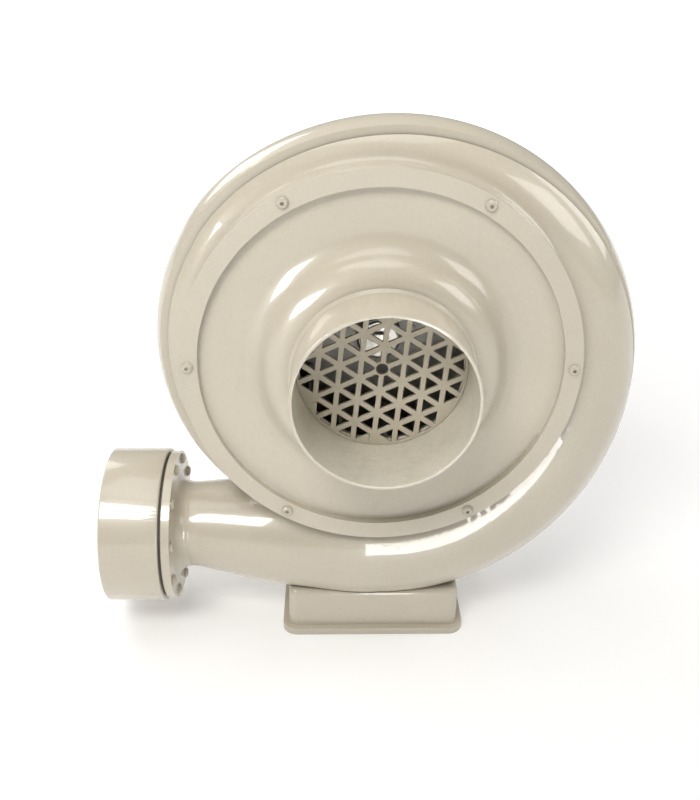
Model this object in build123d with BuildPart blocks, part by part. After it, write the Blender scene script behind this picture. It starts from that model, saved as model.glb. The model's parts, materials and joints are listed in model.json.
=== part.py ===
from build123d import *
from math import asin, cos, pi, radians, sin, sqrt
import os

# Centrifugal exhaust blower: a cast volute with a bolted inlet cover, a collar on its outlet,
# a foot under it and a small induction motor on its back plate.
# Millimetres. X runs to the right seen from the inlet, +Y runs from the inlet to the motor and
# +Z is up. The origin is the centre of the foot's bottom face. Depths along the rotor axis are
# counted from the middle plane of the volute: negative towards the inlet, positive towards
# the motor. Angles round the rotor axis are counted from +X towards +Z.

os.makedirs("parts", exist_ok=True)

# ---------------------------------------------------------------- driving dimensions
# Foot
foot_length = 174.0          # along X, over the lip
foot_depth = 164.0           # along Y, over the lip
foot_front = 50.0            # the lip's front edge, ahead of the volute's middle plane
foot_lip = 7.0               # thickness of the bottom lip
foot_lip_reach = 6.0         # how far the lip stands out past the walls
foot_wall = 6.0
foot_corner = 14.0           # corner radius seen from above
foot_height = 47.0           # top edge of the walls beside the volute
foot_tail_height = 16.0      # height of the low rear part under the motor
foot_bolt_x = 130.0          # spacing of the mounting holes along X
foot_bolt_y = 120.0          # spacing of the mounting holes along Y
foot_bolt_bore = 9.0         # clearance hole for M8
foot_pad_radius = 13.0       # pads inside the foot round the mounting holes
foot_shelf_back = 62.0       # where the top of the foot starts to slope down, behind the volute
foot_crease = 6.0            # rounding of the top front edge
foot_screw_places = (-50.0, 50.0)    # screws that hold the volute, along X
foot_boss_radius = 10.0
foot_boss_height = 12.0
foot_post_radius = 11.0
foot_post_base = 9.0         # underside of the posts that the screw heads bear on
foot_screw_roof = 4.0        # metal left above the screw's hole in the casing
foot_rib = 10.0              # cross rib that carries the posts
saddle_gap = 0.4             # between the foot and the volute that lies in it

# Rotor axis and volute
shaft_height = 288.0         # rotor axis above the foot's bottom face
reach_start = 190.5          # outside radius of the scroll where it starts
reach_growth = 76.5          # how much that radius grows by the throat
growth_start = 116.6         # angle where the scroll begins to grow, degrees
growth_sweep = 206.6         # degrees from there to the throat
ease_share = 0.8             # share of the sweep after which the growth levels out
tube_start = 30.0            # outside radius of the scroll's tube where it starts
tube_share = 0.4             # tube radius gained for each millimetre of reach
casing_wall = 4.5
drum_radius = 165.5          # outside of the rings that the covers seat on
front_seat = 56.0            # depth of the inlet cover's seat, ahead of the middle plane
back_seat = 54.0             # depth of the back plate's seat, behind the middle plane
cove_front = 10.0            # cove between drum and tube at the scroll's start, front side
cove_back = 7.0              # the same on the back
cove_fade = 6.0              # how much the front cove shrinks by the throat
seam_depth = 20.0            # middle of the parting groove, ahead of the middle plane
seam_width = 3.0
seam_groove = 1.8            # depth of the parting groove
seam_trace = 0.1             # least step and groove, where the seam runs out
seam_run_out = 40.0          # degrees over which the groove fades before the throat
seam_step = 3.5              # how much the rear half stands proud of the front half at the start
cover_screw_count = 6
plate_screw_count = 8
plate_screw_start = 22.5     # first screw of the back plate, degrees from the horizontal
seat_screw_depth = 14.0      # depth of the tapped holes in both seats

# Outlet
outlet_drop = 193.0          # outlet axis below the rotor axis
neck_radius = 40.3           # outside of the neck at the outlet flange
neck_length = 170.0          # from the throat to where the neck becomes straight
neck_taper = 1.65            # power of the neck's taper, 1 would be a plain cone
neck_lap = 14.0              # how far the neck's root reaches back into the scroll
neck_dip = 2.5               # how far the root lies below the scroll's surface there
neck_swell = 0.5             # how much wider than the scroll the neck starts
flange_face = 193.5          # outlet face of the flange, left of the rotor axis
flange_thickness = 7.4
flange_radius = 69.6
flange_cove = 13.0           # cove between the neck and the flange
flange_screw_circle = 62.0
flange_screw_count = 10
flange_screw_start = 13.7    # first screw above the flange's foremost point, degrees
outlet_gasket_thickness = 2.5
collar_radius = 72.0         # outside radius of the outlet collar
collar_length = 52.6
collar_wall = 3.0
collar_web = 5.0             # inner flange of the collar
collar_round = 1.5           # rounding of the collar's outer edges

# Inlet cover
cover_radius = 167.9
cover_wall = 3.0
gasket_thickness = 1.0
dish_radius = 152.5          # inner edge of the flange, where the dish steps back
dish_step = 6.5
bell_outer = 118.0           # where the bell starts to rise from the dish
bell_inner = 79.0            # where the bell meets the collar
bell_rise = 24.5
inlet_radius = 75.0          # outside radius of the inlet collar
inlet_wall = 2.8
collar_shoulder = 3.0        # sloped shoulder that seats on the bell
inlet_rim = 127.5            # depth of the collar's rim, ahead of the middle plane
inlet_throat = 45.0          # depth of the collar's inner end, ahead of the middle plane

# Inlet grille
grille_face = 60.5           # depth of the grille's front face
grille_thickness = 3.0
grille_pitch = 20.5          # distance between the lattice's crossings
grille_bar = 4.4
grille_rim = 2.4             # width of the outer ring
grille_eye = 10.0            # bore of the ring at the centre
grille_eye_ring = 13.6       # outside diameter of that ring
grille_turn = -4.8           # turn of the lattice, degrees
grille_ledge = 3.6           # width of the ledge that carries the grille

# Impeller
impeller_radius = 140.0
backplate_depth = 27.0       # front face of the back disc
backplate_thickness = 3.0
shroud_thickness = 2.0
eye_radius = 76.6            # inside of the shroud's neck, outside the collar's inner end
eye_depth = 49.0             # front end of the shroud's neck, ahead of the middle plane
eye_length = 8.0
tip_depth = 4.0              # inside of the shroud at the rim, ahead of the middle plane
blade_count = 12
blade_root = 70.0
blade_thickness = 2.6
blade_bow = 210.0            # radius of the blade's curve
blade_lag = 42.0             # angle that the tip lags behind the root, degrees
blade_inlet_width = 52.0     # width of the blades at their roots
hub_radius = 20.0
hub_flange_radius = 40.0
hub_flange_thickness = 6.0
hub_nose = 22.0              # length of the hub ahead of the back disc
rivet_count = 6
rivet_circle = 31.0
rivet_radius = 2.5
hub_tail = 14.0              # length of the hub behind the back disc
washer_radius = 16.0
washer_thickness = 3.0
key_width = 6.0
key_length = 30.0

# Shaft and bearings
shaft_seat = 9.5             # radius of the shaft in the impeller's hub
shaft_recess = 3.0           # shaft's front end, behind the hub's front face
front_journal = 10.0
shaft_body = 13.0
rear_journal = 8.5
fan_journal = 7.0
front_bearing = (10.0, 23.5, 14.0)   # bore radius, outside radius, width
rear_bearing = (8.5, 20.0, 12.0)
bearing_depth = 4.0          # how far both bearings lie inside their shields
ball_count = 8
ball_share = 0.28            # ball radius as a share of the bearing's section
race_share = 0.30            # thickness of a race as a share of the section
race_gap = 0.08
bolt_hole_depth = 22.0       # tapped hole in the shaft's front end
bolt_length = 25.0
seal_radius = 16.0
seal_width = 5.0

# Back plate
plate_thickness = 6.0
plate_rib_count = 8
plate_rib_inner = 90.0
plate_rib_outer = 148.0
plate_rib_width = 6.0
plate_rib_height = 9.0

# Motor
motor_radius = 65.0          # outside of the housing's barrel
motor_wall = 5.0
barrel_length = 104.0
fin_tip = 71.0
fin_count = 40
fin_thickness = 2.4
fin_start = 8.0              # from the barrel's front end to the fins
shield_flange = 84.0         # radius of the front shield's flange
shield_flange_thickness = 9.0
shield_spigot = 50.0
shield_spigot_length = 5.0
shield_screw_circle = 76.0
shield_screw_count = 6
shield_boss_wall = 7.0       # metal round the bearings
register_length = 6.0
register_wall = 6.0
rear_shield_thickness = 10.0
tie_bolt_circle = 69.5
tie_bolt_start = 45.0        # first tie bolt, degrees from the horizontal
tie_bolt_head = 8.0          # across flats
tie_lug_radius = 5.5
tie_bolt_angles = (45, 135, 225, 315)
stack_length = 60.0
air_gap = 0.4
rotor_radius = 35.0
cage_length = 8.0            # of each end ring
cage_width = 10.0            # of each end ring, across
winding_length = 12.0        # of each winding head
winding_width = 15.0
fan_radius = 62.0
fan_hub_radius = 13.0
fan_blade_count = 7
fan_blade_height = 15.0
fan_disc = 2.5
fan_gap = 6.0                # from the rear shield to the fan
cowl_length = 51.0
cowl_radius = 75.4           # inside
cowl_wall = 1.4
cowl_slot_count = 20
cowl_slot_width = 6.0
cowl_slot_inner = 22.0
cowl_slot_outer = 64.0
cowl_screw_inset = 5.0       # from the barrel's end to the cowl's screws
cowl_screw_length = 3.6

# Terminal box
box_length = 92.0            # along X
box_depth = 74.0             # along Y
box_height = 40.0
box_wall = 3.0
box_corner = 6.0
box_base = 74.0              # its underside above the rotor axis
box_post_radius = 5.0
pad_length = 84.0            # the housing's pad under the box, along X
cable_hole = 8.0
lid_thickness = 4.0
lid_gasket = 1.0
capacitor_radius = 14.0
capacitor_length = 58.0
terminal_count = 4
terminal_pitch = 10.0
gland_radius = 10.0
gland_reach = 20.0

# ---------------------------------------------------------------- fits and hardware
slip = 0.1                   # radial clearance of pieces that seat in a bore
running = 0.05               # radial clearance of a turning piece in its guide
m3_shank = 1.5
m3_head = 3.0
m3_head_height = 2.0
m4_shank = 2.0
m5_shank = 2.5
m5_clear = 2.8
m5_head = 5.0
m5_head_height = 2.8
m6_shank = 3.0
m6_clear = 3.3
m6_head = 5.0
m6_head_height = 4.5
m8_shank = 4.0
m8_head_height = 5.0

# ---------------------------------------------------------------- derived places
casing_y = foot_front - foot_depth / 2
outlet_height = shaft_height - outlet_drop
rotor_axis = Axis((0, casing_y, shaft_height), (0, 1, 0))
outlet_axis = Axis((0, casing_y, outlet_height), (-1, 0, 0))
cover_back = front_seat + gasket_thickness
cover_face = cover_back + cover_wall
chamber_radius = dish_radius + cover_wall + 3 * slip
seat_screw_circle = (chamber_radius + drum_radius) / 2
shield_front = back_seat + gasket_thickness + plate_thickness
barrel_front = shield_front + shield_flange_thickness
barrel_back = barrel_front + barrel_length
front_bearing_start = shield_front + bearing_depth
rear_bearing_start = barrel_back - bearing_depth
bore_radius = inlet_radius - inlet_wall
grille_back = grille_face - grille_thickness
inlet_ledge_gap = grille_back - grille_thickness - inlet_throat


def facing(depth, turn=0):
    """Plane across the rotor axis at a depth, seen from the inlet: local x is X, local y is Z."""
    across = (cos(radians(turn)), 0, sin(radians(turn)))
    return Plane(origin=(0, casing_y + depth, shaft_height), x_dir=across, z_dir=(0, -1, 0))


def facing_outlet(distance):
    """Plane across the outlet axis, seen from the left: local x points to the inlet side."""
    origin = (-distance, casing_y, outlet_height)
    return Plane(origin=origin, x_dir=(0, -1, 0), z_dir=(-1, 0, 0))


def facing_back(depth):
    """Plane across the rotor axis at a depth, seen from the motor: local y is Z."""
    return Plane(origin=(0, casing_y + depth, shaft_height), x_dir=(-1, 0, 0), z_dir=(0, 1, 0))


def cowl_place(angle, radius):
    """Plane on the side of the cowl at an angle, facing outwards: local x is +Y."""
    out = (-cos(radians(angle)), 0, sin(radians(angle)))
    origin = (radius * out[0], casing_y + barrel_back + cowl_screw_inset, shaft_height + radius * out[2])
    return Plane(origin=origin, x_dir=(0, 1, 0), z_dir=out)


# Half plane through the rotor axis: local x is the depth, local y the radius.
turning = Plane(origin=(0, casing_y, shaft_height), x_dir=(0, 1, 0), z_dir=(1, 0, 0))
# Half plane through the outlet axis: local x is the distance to the left, local y the radius.
outlet_turning = Plane(origin=(0, casing_y, outlet_height), x_dir=(-1, 0, 0), z_dir=(0, -1, 0))


def scroll_plane(angle):
    """Half plane at an angle round the rotor axis: local x is the radius, local y the depth."""
    turn = radians(angle)
    return Plane(
        origin=(0, casing_y, shaft_height),
        x_dir=(cos(turn), 0, sin(turn)),
        z_dir=(-sin(turn), 0, cos(turn)),
    )


def neck_plane(distance):
    """Plane across the neck, left of the rotor axis: local x is down from it, local y the depth."""
    return Plane(origin=(-distance, casing_y, shaft_height), x_dir=(0, 0, -1), z_dir=(1, 0, 0))


# ---------------------------------------------------------------- volute casing
def growth(angle):
    """Share of the scroll's growth reached at an angle, from 0 at its start to 1 at the throat."""
    return min(max((growth_start - angle) / growth_sweep, 0), 1)


def scroll_reach(angle):
    share = growth(angle)
    eased = 0.4 * max(share - ease_share, 0) ** 2 / (1 - ease_share)
    return reach_start + reach_growth * (share * share * (2.2 - 1.2 * share) - eased)


def tube_radius(angle):
    return tube_start + tube_share * (scroll_reach(angle) - reach_start)


def neck_station(distance):
    """Drop of the neck's middle below the rotor axis, and the neck's outside radius."""
    share = min(max(distance / neck_length, 0), 1) ** neck_taper
    throat_radius = tube_radius(throat_angle) + neck_swell
    throat_drop = scroll_reach(throat_angle) - tube_radius(throat_angle)
    drop = throat_drop + (outlet_drop - throat_drop) * share
    dip = neck_dip * max(-distance / neck_lap, 0)
    return drop, throat_radius + (neck_radius - throat_radius) * share - dip


def tangent_cove(tube_middle, tube_size, cove):
    """Depth of a cove's centre beside the drum, and where it touches the tube."""
    side = drum_radius + cove
    depth = sqrt((tube_size + cove) ** 2 - (side - tube_middle) ** 2)
    share = tube_size / (tube_size + cove)
    return depth, tube_middle + (side - tube_middle) * share, depth * share


def arc_middle(centre, start, end, size):
    """Point halfway along the shorter arc from start to end round a centre on the middle plane."""
    x = (start[0] + end[0]) / 2 - centre[0]
    y = (start[1] + end[1]) / 2 - centre[1]
    scale = size / sqrt(x * x + y * y)
    return centre[0] + x * scale, centre[1] + y * scale


def wall_section(angle):
    """Closed outline of the casing's wall at an angle: seats, drums, coves, tube and groove."""
    size = tube_radius(angle)
    middle = scroll_reach(angle) - size
    fade = min(max((angle - 5) / 45, 0), 1)
    rear_size = size + seam_trace + seam_step * fade * fade * (3 - 2 * fade)
    run_out = min((angle - throat_angle) / seam_run_out, 1)
    front_cove = cove_front - cove_fade * growth(angle)
    rear_cove = cove_back - (cove_back - 2) * growth(angle)
    f_depth, f_x, f_y = tangent_cove(middle, size, front_cove)
    r_depth, r_x, r_y = tangent_cove(middle, rear_size, rear_cove)
    groove_front = seam_depth + seam_width / 2
    groove_back = seam_depth - seam_width / 2
    front_lip = (middle + sqrt(size**2 - groove_front**2), -groove_front)
    rear_lip = (middle + sqrt(rear_size**2 - groove_back**2), -groove_back)
    floor = front_lip[0] - seam_trace - seam_groove * run_out
    inside = size - casing_wall
    mouth = sqrt(inside**2 - (chamber_radius - middle) ** 2)
    f_start, f_end = (drum_radius, -f_depth), (f_x, -f_y)
    r_start, r_end = (r_x, r_y), (drum_radius, r_depth)
    f_centre, r_centre = (drum_radius + front_cove, -f_depth), (drum_radius + rear_cove, r_depth)
    with BuildSketch(scroll_plane(angle)) as section:
        with BuildLine():
            Line((chamber_radius, -front_seat), (drum_radius, -front_seat))
            Line((drum_radius, -front_seat), f_start)
            ThreePointArc(f_start, arc_middle(f_centre, f_start, f_end, front_cove), f_end)
            ThreePointArc(f_end, arc_middle((middle, 0), f_end, front_lip, size), front_lip)
            Line(front_lip, (floor, -groove_front))
            Line((floor, -groove_front), (floor, -groove_back))
            Line((floor, -groove_back), rear_lip)
            far = (middle + rear_size * cos(pi / 8), rear_size * sin(pi / 8))
            ThreePointArc(rear_lip, far, r_start)
            ThreePointArc(r_start, arc_middle(r_centre, r_start, r_end, rear_cove), r_end)
            Line(r_end, (drum_radius, back_seat))
            Line((drum_radius, back_seat), (chamber_radius, back_seat))
            Line((chamber_radius, back_seat), (chamber_radius, mouth))
            ThreePointArc((chamber_radius, mouth), (middle + inside, 0), (chamber_radius, -mouth))
            Line((chamber_radius, -mouth), (chamber_radius, -front_seat))
        make_face()
    return section.sketch.face()


def neck_section(distance, wall):
    drop, size = neck_station(distance)
    with BuildSketch(neck_plane(distance)) as section:
        with Locations((drop, 0)):
            Circle(size - wall)
    return section.sketch.face()


def tube_bed(angle):
    """Outline of the volute's tube at an angle, grown by the gap to the foot."""
    size = tube_radius(angle)
    with BuildSketch(scroll_plane(angle)) as section:
        with Locations((scroll_reach(angle) - size, 0)):
            Circle(size + seam_trace + saddle_gap)
    return section.sketch.face()


throat_angle = growth_start - growth_sweep
scroll_start = 150.0
scroll_angles = [scroll_start - 30 * turn for turn in range(8)] + [throat_angle]
neck_stations = [-neck_lap, 0, 45, 90, 130, neck_length]
neck_outside = neck_stations + [flange_face - flange_thickness / 2]
start_sweep = throat_angle + 360 - scroll_start


def tube_floor(x):
    """Height of the volute's underside at a place along X, above the foot's bottom face."""
    if x < 0:
        return shaft_height - sum(neck_station(-x))
    reach = scroll_reach(throat_angle)
    reach = scroll_reach(throat_angle + asin(x / reach) * 180 / pi)
    return shaft_height - sqrt(reach**2 - x**2)


with BuildPart() as volute_body:
    loft(sections=[wall_section(angle) for angle in scroll_angles])
    revolve(wall_section(scroll_start), axis=rotor_axis, revolution_arc=-start_sweep)
    loft(sections=[neck_section(d, 0) for d in neck_outside])
    with BuildSketch(outlet_turning):
        flange_back = flange_face - flange_thickness
        cove_base = flange_back - flange_cove
        cove_top = neck_radius + flange_cove
        cove_sag = flange_cove * (1 - cos(pi / 4))
        with BuildLine():
            Line((cove_base, neck_radius - casing_wall), (cove_base, neck_radius))
            halfway = (flange_back - cove_sag, neck_radius + cove_sag)
            ThreePointArc((cove_base, neck_radius), halfway, (flange_back, cove_top))
            Line((flange_back, cove_top), (flange_back, flange_radius))
            Line((flange_back, flange_radius), (flange_face, flange_radius))
            Line((flange_face, flange_radius), (flange_face, neck_radius - casing_wall))
            Line((flange_face, neck_radius - casing_wall), (cove_base, neck_radius - casing_wall))
        make_face()
    revolve(axis=outlet_axis)
    loft(
        sections=[neck_section(d, casing_wall) for d in neck_stations + [flange_face + 1]],
        mode=Mode.SUBTRACT,
    )
    for x in foot_screw_places:
        with BuildSketch(Plane.XY.offset(tube_floor(x) + casing_wall / 2)):
            with Locations((x, casing_y)):
                Circle(foot_boss_radius)
        extrude(amount=foot_boss_height)
    with BuildSketch(facing(-front_seat - 1)):
        Circle(chamber_radius)
    extrude(amount=-(front_seat + back_seat + 2), mode=Mode.SUBTRACT)
    with BuildSketch(facing(-front_seat)):
        with PolarLocations(seat_screw_circle, cover_screw_count):
            Circle(m5_shank + slip)
    extrude(amount=-seat_screw_depth, mode=Mode.SUBTRACT)
    with BuildSketch(facing_back(back_seat)):
        with PolarLocations(seat_screw_circle, plate_screw_count, start_angle=plate_screw_start):
            Circle(m5_shank + slip)
    extrude(amount=-seat_screw_depth, mode=Mode.SUBTRACT)
    with BuildSketch(facing_outlet(flange_face)):
        with PolarLocations(flange_screw_circle, flange_screw_count, start_angle=flange_screw_start):
            Circle(m5_clear)
    extrude(amount=-flange_thickness, mode=Mode.SUBTRACT)
    for x in foot_screw_places:
        with BuildSketch(Plane.XY):
            with Locations((x, casing_y)):
                Circle(m8_shank + slip)
        extrude(amount=tube_floor(x) + foot_boss_height - foot_screw_roof, mode=Mode.SUBTRACT)
volute_body.part.label = "volute_body"
export_step(volute_body.part, "parts/volute_body.step")


# ---------------------------------------------------------------- screws
def socket_screw(head_radius, head_height, shank_radius, length, key):
    """A round-headed screw with a hexagon socket: underside of the head on XY, shank below."""
    with BuildPart() as screw:
        with BuildSketch(Plane.XZ):
            with BuildLine():
                Line((0, -length), (shank_radius, -length))
                Line((shank_radius, -length), (shank_radius, 0))
                Line((shank_radius, 0), (head_radius, 0))
                Line((head_radius, 0), (head_radius, head_height * 0.3))
                shoulder = (head_radius * 0.8, head_height * 0.8)
                ThreePointArc((head_radius, head_height * 0.3), shoulder, (key * 1.1, head_height))
                Line((key * 1.1, head_height), (0, head_height))
                Line((0, head_height), (0, -length))
            make_face()
        revolve(axis=Axis.Z)
        with BuildSketch(Plane.XY.offset(head_height)):
            RegularPolygon(key / 2, 6, major_radius=False)
        extrude(amount=-head_height * 0.7, mode=Mode.SUBTRACT)
    return screw.part


def hexagon_screw(across_flats, head_height, shank_radius, length):
    """A hexagon-headed screw: underside of the head on XY, shank below."""
    with BuildPart() as screw:
        with BuildSketch(Plane.XY):
            RegularPolygon(across_flats / 2, 6, major_radius=False)
        extrude(amount=head_height)
        with BuildSketch(Plane.XY):
            Circle(shank_radius)
        extrude(amount=-length)
    return screw.part


# ---------------------------------------------------------------- inlet cover
with BuildPart() as inlet_cover:
    with BuildSketch(turning):
        with BuildLine():
            bell_middle = (-cover_face + dish_step - bell_rise / 2, (bell_outer + bell_inner) / 2)
            Line((-cover_face, cover_radius), (-cover_face, dish_radius))
            Line((-cover_face, dish_radius), (-cover_face + dish_step, dish_radius))
            flat = Line((-cover_face + dish_step, dish_radius), (-cover_face + dish_step, bell_outer))
            foot_arc = TangentArc(flat @ 1, bell_middle, tangent=flat % 1)
            crown = (-cover_face + dish_step - bell_rise, bell_inner)
            crown_arc = TangentArc(foot_arc @ 1, crown, tangent=foot_arc % 1)
            Line(crown_arc @ 1, (crown[0], inlet_radius))
            offset(amount=cover_wall, side=Side.LEFT)
        make_face()
    revolve(axis=rotor_axis)
    with BuildSketch(facing(-cover_face)):
        with PolarLocations(seat_screw_circle, cover_screw_count):
            Circle(m5_clear)
    extrude(amount=-cover_wall, mode=Mode.SUBTRACT)
inlet_cover.part.label = "inlet_cover"
export_step(inlet_cover.part, "parts/inlet_cover.step")

# The collar is pressed into the bell up to its shoulder, and its ledge carries the grille.
shoulder_face = cover_face - dish_step + bell_rise
with BuildPart() as inlet_collar:
    with BuildSketch(turning):
        with BuildLine():
            Polyline(
                (-inlet_rim, bore_radius),
                (-inlet_rim, inlet_radius),
                (-shoulder_face - collar_shoulder, inlet_radius),
                (-shoulder_face, inlet_radius + collar_shoulder),
                (-shoulder_face, inlet_radius),
                (-inlet_throat, inlet_radius),
                (-inlet_throat, bore_radius),
                (-inlet_throat - inlet_ledge_gap, bore_radius),
                (-inlet_throat - inlet_ledge_gap, bore_radius - grille_ledge),
                (-grille_back, bore_radius - grille_ledge),
                (-grille_back, bore_radius),
                (-inlet_rim, bore_radius),
            )
        make_face()
    revolve(axis=rotor_axis)
inlet_collar.part.label = "inlet_collar"
export_step(inlet_collar.part, "parts/inlet_collar.step")

with BuildPart() as inlet_cover_gasket:
    with BuildSketch(facing(-front_seat)):
        Circle(drum_radius)
        Circle(chamber_radius, mode=Mode.SUBTRACT)
        with PolarLocations(seat_screw_circle, cover_screw_count):
            Circle(m5_clear, mode=Mode.SUBTRACT)
    extrude(amount=gasket_thickness)
inlet_cover_gasket.part.label = "inlet_cover_gasket"
export_step(inlet_cover_gasket.part, "parts/inlet_cover_gasket.step")

cover_screw = socket_screw(m5_head, m5_head_height, m5_shank, cover_wall + gasket_thickness + 10, 3.0)
with BuildPart() as inlet_cover_screws:
    with Locations(facing(-cover_face)):
        with PolarLocations(seat_screw_circle, cover_screw_count):
            add(cover_screw)
inlet_cover_screws.part.label = "inlet_cover_screws"
export_step(inlet_cover_screws.part, "parts/inlet_cover_screws.step")

# The guard inside the inlet: bars in three directions that cross at every node of a triangular
# lattice, so each opening is an equal-sided triangle.
row_gap = grille_pitch * sqrt(3) / 2
opening_radius = 2 * (grille_pitch / sqrt(12) - grille_bar / 2)
grille_inner = bore_radius - slip - grille_rim
with BuildPart() as inlet_grille:
    with BuildSketch(facing(-grille_face)):
        Circle(bore_radius - slip)
    extrude(amount=-grille_thickness)
    with BuildSketch(facing(-grille_face, grille_turn)):
        rows = int(bore_radius / row_gap) + 1
        for row in range(-rows, rows):
            for step in range(-rows, rows):
                for across, along, turn in ((1 / 3, 1 / 2, 0), (2 / 3, 0, 180)):
                    x = (row + across) * row_gap
                    y = (step + row % 2 / 2 + along) * grille_pitch
                    if sqrt(x * x + y * y) < grille_inner - grille_bar / 4:
                        with Locations((x, y)):
                            RegularPolygon(opening_radius, 3, rotation=turn)
        Circle(grille_inner, mode=Mode.INTERSECT)
        Circle(grille_eye_ring / 2, mode=Mode.SUBTRACT)
        Circle(grille_eye / 2)
    extrude(amount=-grille_thickness, mode=Mode.SUBTRACT)
inlet_grille.part.label = "inlet_grille"
export_step(inlet_grille.part, "parts/inlet_grille.step")

# ---------------------------------------------------------------- outlet
collar_face = flange_face + outlet_gasket_thickness
with BuildPart() as outlet_gasket:
    with BuildSketch(facing_outlet(flange_face)):
        Circle(flange_radius - 2)
        Circle(neck_radius - casing_wall, mode=Mode.SUBTRACT)
        with PolarLocations(flange_screw_circle, flange_screw_count, start_angle=flange_screw_start):
            Circle(m5_clear, mode=Mode.SUBTRACT)
    extrude(amount=outlet_gasket_thickness)
outlet_gasket.part.label = "outlet_gasket"
export_step(outlet_gasket.part, "parts/outlet_gasket.step")

with BuildPart() as outlet_collar:
    with BuildSketch(facing_outlet(collar_face)):
        Circle(collar_radius)
    extrude(amount=collar_length)
    with BuildSketch(facing_outlet(collar_face + collar_web)):
        Circle(collar_radius - collar_wall)
    extrude(amount=collar_length, mode=Mode.SUBTRACT)
    with BuildSketch(facing_outlet(collar_face)):
        Circle(neck_radius - casing_wall)
        with PolarLocations(flange_screw_circle, flange_screw_count, start_angle=flange_screw_start):
            Circle(m5_shank + slip)
    extrude(amount=collar_web, mode=Mode.SUBTRACT)
    rims = outlet_collar.edges().filter_by(GeomType.CIRCLE)
    fillet([e for e in rims if abs(e.radius - collar_radius) < 0.01], collar_round)
outlet_collar.part.label = "outlet_collar"
export_step(outlet_collar.part, "parts/outlet_collar.step")

flange_grip = flange_thickness + outlet_gasket_thickness + collar_web
flange_screw = socket_screw(m5_head, m5_head_height, m5_shank, flange_grip, 3.0)
flange_underside = Plane(
    origin=(-flange_back, casing_y, outlet_height), x_dir=(0, -1, 0), z_dir=(1, 0, 0)
)
with BuildPart() as outlet_flange_screws:
    with Locations(flange_underside):
        with PolarLocations(flange_screw_circle, flange_screw_count, start_angle=-flange_screw_start):
            add(flange_screw)
outlet_flange_screws.part.label = "outlet_flange_screws"
export_step(outlet_flange_screws.part, "parts/outlet_flange_screws.step")

# ---------------------------------------------------------------- foot
with BuildPart() as foot:
    with BuildSketch(Plane.XY):
        RectangleRounded(foot_length, foot_depth, foot_corner)
    extrude(amount=foot_lip)
    wall_length = foot_length - 2 * foot_lip_reach
    wall_front = -foot_depth / 2 + foot_lip_reach
    wall_back = foot_depth / 2 - foot_lip_reach
    shelf_back = casing_y + foot_shelf_back
    with BuildSketch(Plane.YZ.offset(-wall_length / 2)):
        with BuildLine():
            Polyline(
                (wall_front, 0),
                (wall_front, foot_height),
                (shelf_back, foot_height),
                (wall_back, foot_tail_height),
                (wall_back, 0),
                (wall_front, 0),
            )
        make_face()
    extrude(amount=wall_length)
    uprights = foot.edges().filter_by(Axis.Z).filter_by(lambda e: e.length > foot_lip + 1)
    fillet(uprights, foot_corner - foot_lip_reach)
    top_front = foot.edges().filter_by(Axis.X).filter_by(lambda e: e.center().Z > foot_height - 1)
    fillet(top_front.sort_by(Axis.Y)[0], foot_crease)
    with BuildSketch(Plane.YZ.offset(-wall_length / 2 + foot_wall)):
        with BuildLine():
            Polyline(
                (wall_front + foot_wall, -1),
                (wall_front + foot_wall, foot_height - foot_wall),
                (shelf_back - foot_wall / 2, foot_height - foot_wall),
                (wall_back - foot_wall, foot_tail_height - foot_wall),
                (wall_back - foot_wall, -1),
                (wall_front + foot_wall, -1),
            )
        make_face()
    extrude(amount=wall_length - 2 * foot_wall, mode=Mode.SUBTRACT)
    for x in foot_screw_places:
        with BuildSketch(Plane.XY.offset(foot_post_base)):
            with Locations((x, casing_y)):
                Circle(foot_post_radius)
        extrude(amount=foot_height - foot_wall - foot_post_base)
    with BuildSketch(Plane.XY):
        with GridLocations(foot_bolt_x, foot_bolt_y, 2, 2):
            Circle(foot_pad_radius)
    extrude(amount=foot_lip)
    with BuildSketch(Plane.XY):
        with GridLocations(foot_bolt_x, foot_bolt_y, 2, 2):
            Circle(foot_bolt_bore / 2)
    extrude(amount=foot_lip, mode=Mode.SUBTRACT)
    with BuildSketch(Plane.XY.offset(foot_post_base)):
        with Locations((0, casing_y)):
            Rectangle(wall_length - foot_wall, foot_rib)
    extrude(amount=foot_height - foot_wall - foot_post_base)
    saddle = [tube_bed(angle) for angle in scroll_angles[4:]]
    loft(sections=saddle, mode=Mode.SUBTRACT)
    loft(sections=[neck_section(d, -saddle_gap) for d in neck_outside], mode=Mode.SUBTRACT)
    for x in foot_screw_places:
        with BuildSketch(Plane.XY):
            with Locations((x, casing_y)):
                Circle(m8_shank + 4 * slip)
        extrude(amount=foot_height, mode=Mode.SUBTRACT)
foot.part.label = "foot"
export_step(foot.part, "parts/foot.step")

with BuildPart() as foot_screws:
    for x in foot_screw_places:
        grip = tube_floor(x) + foot_boss_height - foot_screw_roof - 2 - foot_post_base
        screw = hexagon_screw(13, m8_head_height, m8_shank, grip)
        with Locations(Plane(origin=(x, casing_y, foot_post_base), z_dir=(0, 0, -1))):
            add(screw)
foot_screws.part.label = "foot_screws"
export_step(foot_screws.part, "parts/foot_screws.step")

# ---------------------------------------------------------------- back plate
plate_front = back_seat + gasket_thickness
with BuildPart() as back_plate_gasket:
    with BuildSketch(facing_back(back_seat)):
        Circle(drum_radius)
        Circle(chamber_radius, mode=Mode.SUBTRACT)
        with PolarLocations(seat_screw_circle, plate_screw_count, start_angle=plate_screw_start):
            Circle(m5_clear, mode=Mode.SUBTRACT)
    extrude(amount=gasket_thickness)
back_plate_gasket.part.label = "back_plate_gasket"
export_step(back_plate_gasket.part, "parts/back_plate_gasket.step")

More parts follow.
